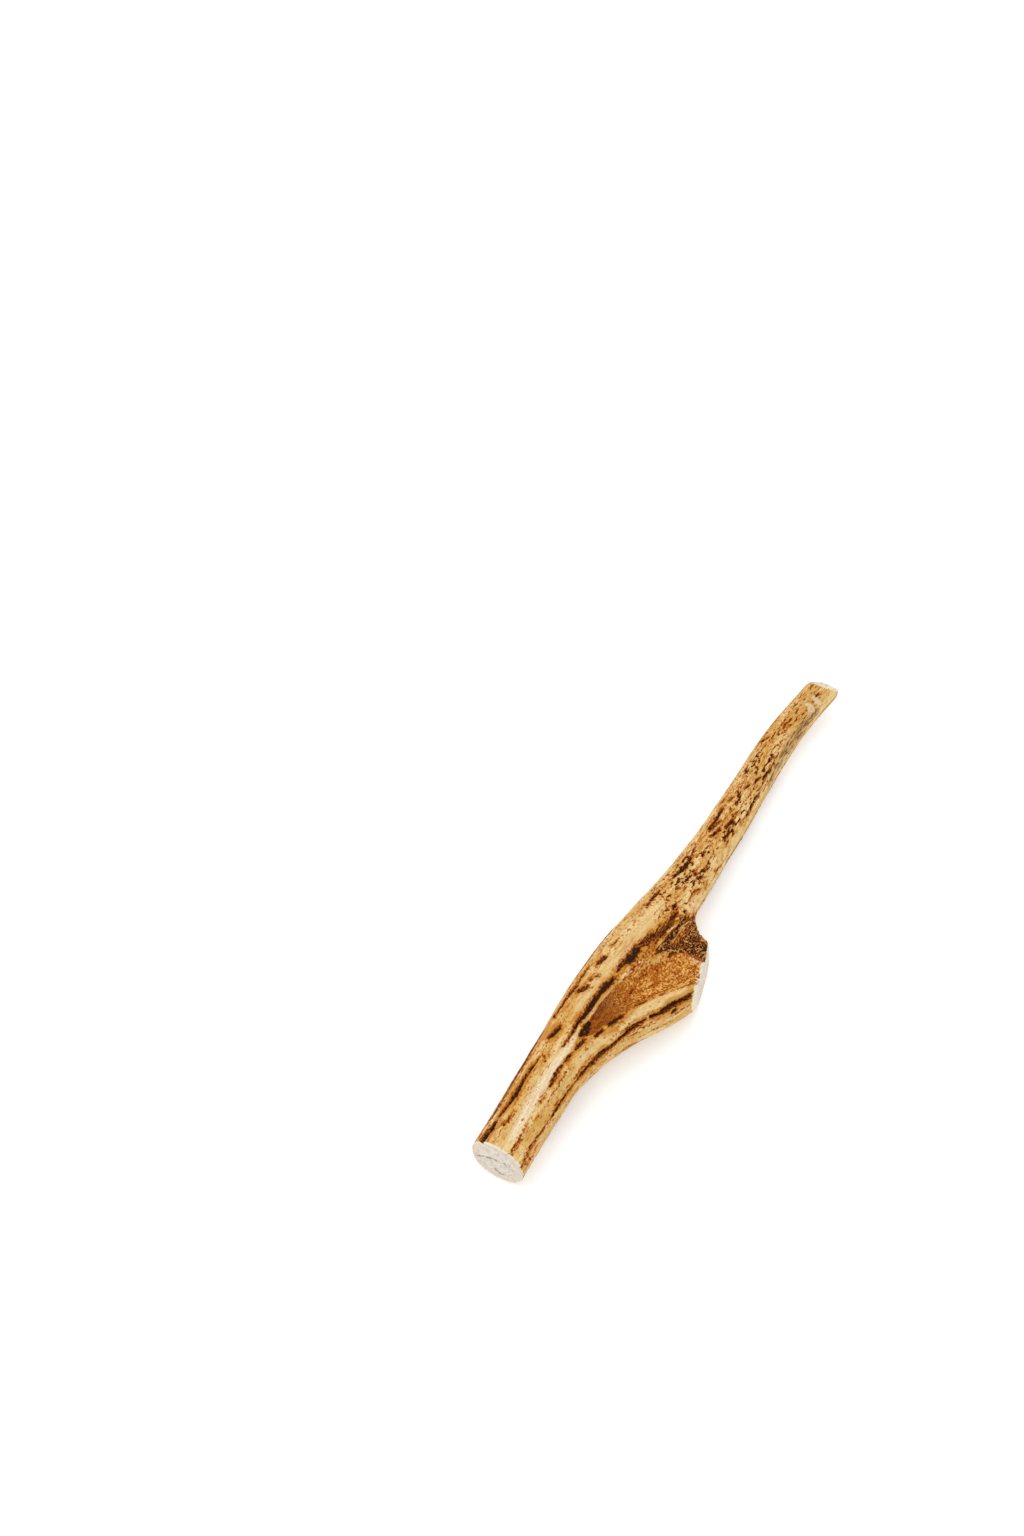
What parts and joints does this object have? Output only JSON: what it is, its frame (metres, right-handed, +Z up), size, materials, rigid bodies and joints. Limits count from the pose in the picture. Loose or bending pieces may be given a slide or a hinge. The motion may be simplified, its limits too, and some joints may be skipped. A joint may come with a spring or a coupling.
{
  "type": "deer antler piece",
  "caption": "Sawn piece of deer antler: a round grooved beam that forks into a long slim tine and a short trimmed branch with a hollow between them.",
  "frame": {"origin": "middle of the footprint, on the surface that the piece rests on", "axes": "+X along the beam towards the tine, +Y to the side away from the trimmed branch, +Z up"},
  "size_m": [0.218, 0.0365, 0.0215],
  "materials": {
    "antler": "satin with dark grooves"
  },
  "bodies": {
    "root": {"beam": "antler", "tine": "antler", "branch_stump": "antler"}
  },
  "joints": []
}
